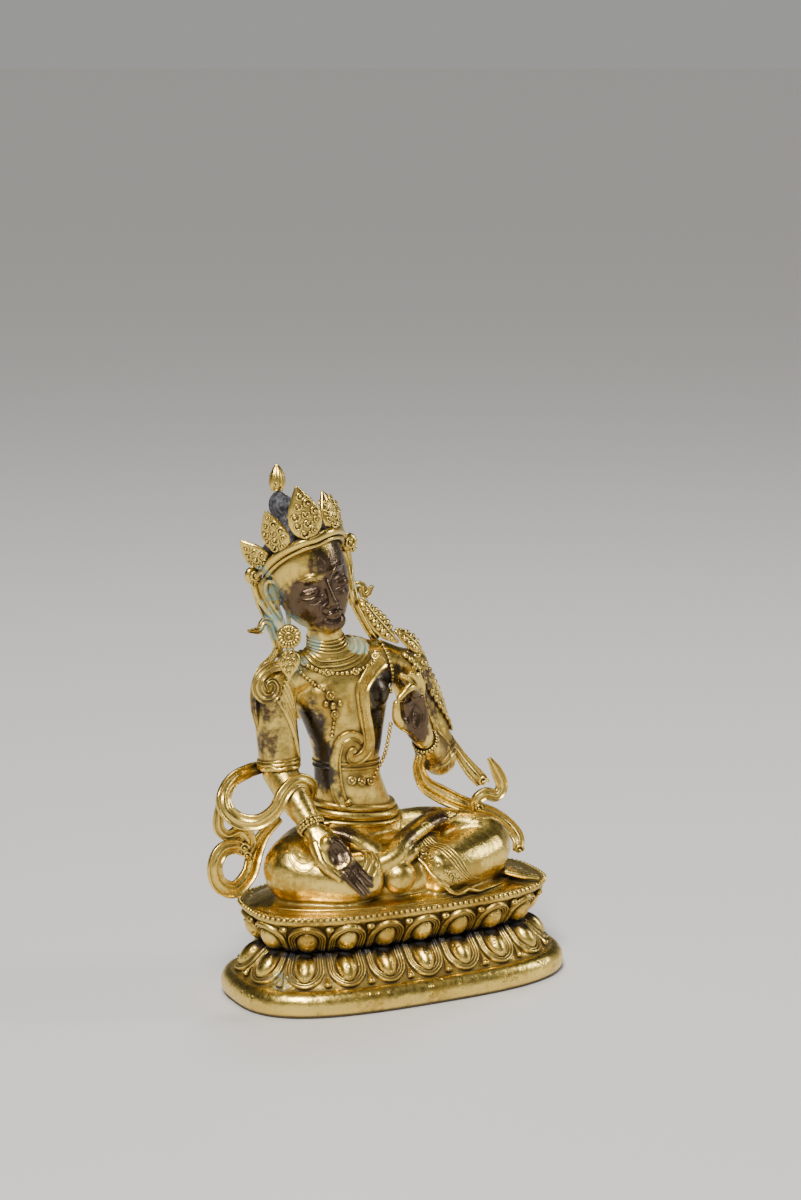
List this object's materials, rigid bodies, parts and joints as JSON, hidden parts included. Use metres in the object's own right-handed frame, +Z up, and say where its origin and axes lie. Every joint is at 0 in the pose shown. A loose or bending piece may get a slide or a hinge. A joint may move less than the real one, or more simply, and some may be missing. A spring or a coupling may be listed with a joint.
{
  "type": "seated tara figure on a lotus plinth",
  "caption": "Gilt bronze tara seated cross-legged on a lotus plinth, right hand lowered and left hand raised, with crown, earrings, ribbons and scarves.",
  "frame": {"origin": "middle of the plinth's underside", "axes": "+Z up, the figure faces -Y, +X is her left"},
  "size_m": [0.1204, 0.06, 0.1668],
  "materials": {
    "gilding": "satin",
    "worn_gilding": "satin",
    "bright_gilding": "polished"
  },
  "bodies": {
    "root": {"lotus_plinth": "gilding", "tara_figure": "worn_gilding", "crown": "bright_gilding", "topknot_jewel": "bright_gilding", "right_earring": "bright_gilding", "left_earring": "bright_gilding", "right_ribbon": "bright_gilding", "left_ribbon": "bright_gilding", "right_scarf": "bright_gilding", "right_scarf_tail": "bright_gilding", "left_scarf": "bright_gilding", "left_scarf_tail": "bright_gilding"}
  },
  "joints": []
}
